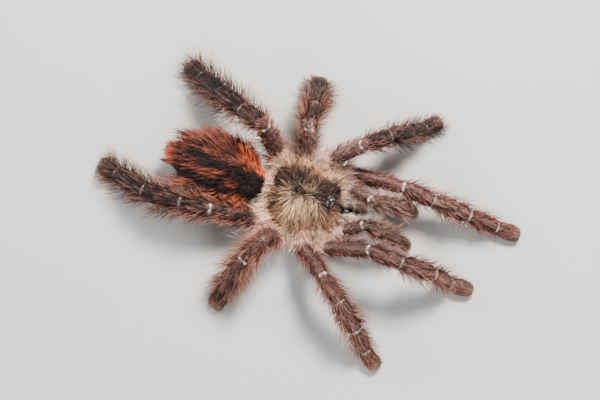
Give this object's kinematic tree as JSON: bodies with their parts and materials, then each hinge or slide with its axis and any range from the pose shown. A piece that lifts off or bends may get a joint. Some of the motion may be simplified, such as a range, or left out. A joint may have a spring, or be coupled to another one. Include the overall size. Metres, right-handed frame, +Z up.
{
  "type": "pink toe tarantula",
  "caption": "Still life-size pink toe tarantula standing on its spread hairy legs, with feelers, jaws and fangs in front and a long egg-shaped abdomen behind.",
  "frame": {"origin": "on the floor, under the centre of the box round the whole animal", "axes": "+Z up; the spider faces -Y and its left side is +X"},
  "size_m": [0.0682, 0.1064, 0.0202],
  "materials": {
    "leg_coat": "short dense mauve-brown hair with long red-brown hairs",
    "toe_coat": "velvety pinkish grey brush of hair",
    "carapace_coat": "flat silky grey-tan hair",
    "belly_coat": "dark velvety hair",
    "abdomen_coat": "brick red and blackish hair",
    "jaw_coat": "dark hair over glossy shell",
    "eye": "glossy black",
    "fang": "polished black-brown"
  },
  "bodies": {
    "root": {"leg_1_left_femur": "leg_coat", "leg_1_left_patella": "leg_coat", "leg_1_left_tibia": "leg_coat", "leg_1_left_metatarsus": "leg_coat", "leg_1_left_tarsus": "toe_coat", "leg_2_left_femur": "leg_coat", "leg_2_left_patella": "leg_coat", "leg_2_left_tibia": "leg_coat", "leg_2_left_metatarsus": "leg_coat", "leg_2_left_tarsus": "toe_coat", "leg_3_left_femur": "leg_coat", "leg_3_left_patella": "leg_coat", "leg_3_left_tibia": "leg_coat", "leg_3_left_metatarsus": "leg_coat", "leg_3_left_tarsus": "toe_coat", "leg_4_left_femur": "leg_coat", "leg_4_left_patella": "leg_coat", "leg_4_left_tibia": "leg_coat", "leg_4_left_metatarsus": "leg_coat", "leg_4_left_tarsus": "toe_coat", "leg_1_right_femur": "leg_coat", "leg_1_right_patella": "leg_coat", "leg_1_right_tibia": "leg_coat", "leg_1_right_metatarsus": "leg_coat", "leg_1_right_tarsus": "toe_coat", "leg_2_right_femur": "leg_coat", "leg_2_right_patella": "leg_coat", "leg_2_right_tibia": "leg_coat", "leg_2_right_metatarsus": "leg_coat", "leg_2_right_tarsus": "toe_coat", "leg_3_right_femur": "leg_coat", "leg_3_right_patella": "leg_coat", "leg_3_right_tibia": "leg_coat", "leg_3_right_metatarsus": "leg_coat", "leg_3_right_tarsus": "toe_coat", "leg_4_right_femur": "leg_coat", "leg_4_right_patella": "leg_coat", "leg_4_right_tibia": "leg_coat", "leg_4_right_metatarsus": "leg_coat", "leg_4_right_tarsus": "toe_coat", "palp_left_femur": "leg_coat", "palp_left_patella": "leg_coat", "palp_left_tibia": "leg_coat", "palp_left_tarsus": "toe_coat", "palp_right_femur": "leg_coat", "palp_right_patella": "leg_coat", "palp_right_tibia": "leg_coat", "palp_right_tarsus": "toe_coat", "carapace": "carapace_coat", "sternum_and_coxae": "belly_coat", "pedicel": "belly_coat", "abdomen": "abdomen_coat", "spinneret_left": "abdomen_coat", "spinneret_right": "abdomen_coat", "eye_mound": "eye", "chelicera_left": "jaw_coat", "chelicera_right": "jaw_coat", "fang_left": "fang", "fang_right": "fang"}
  },
  "joints": []
}
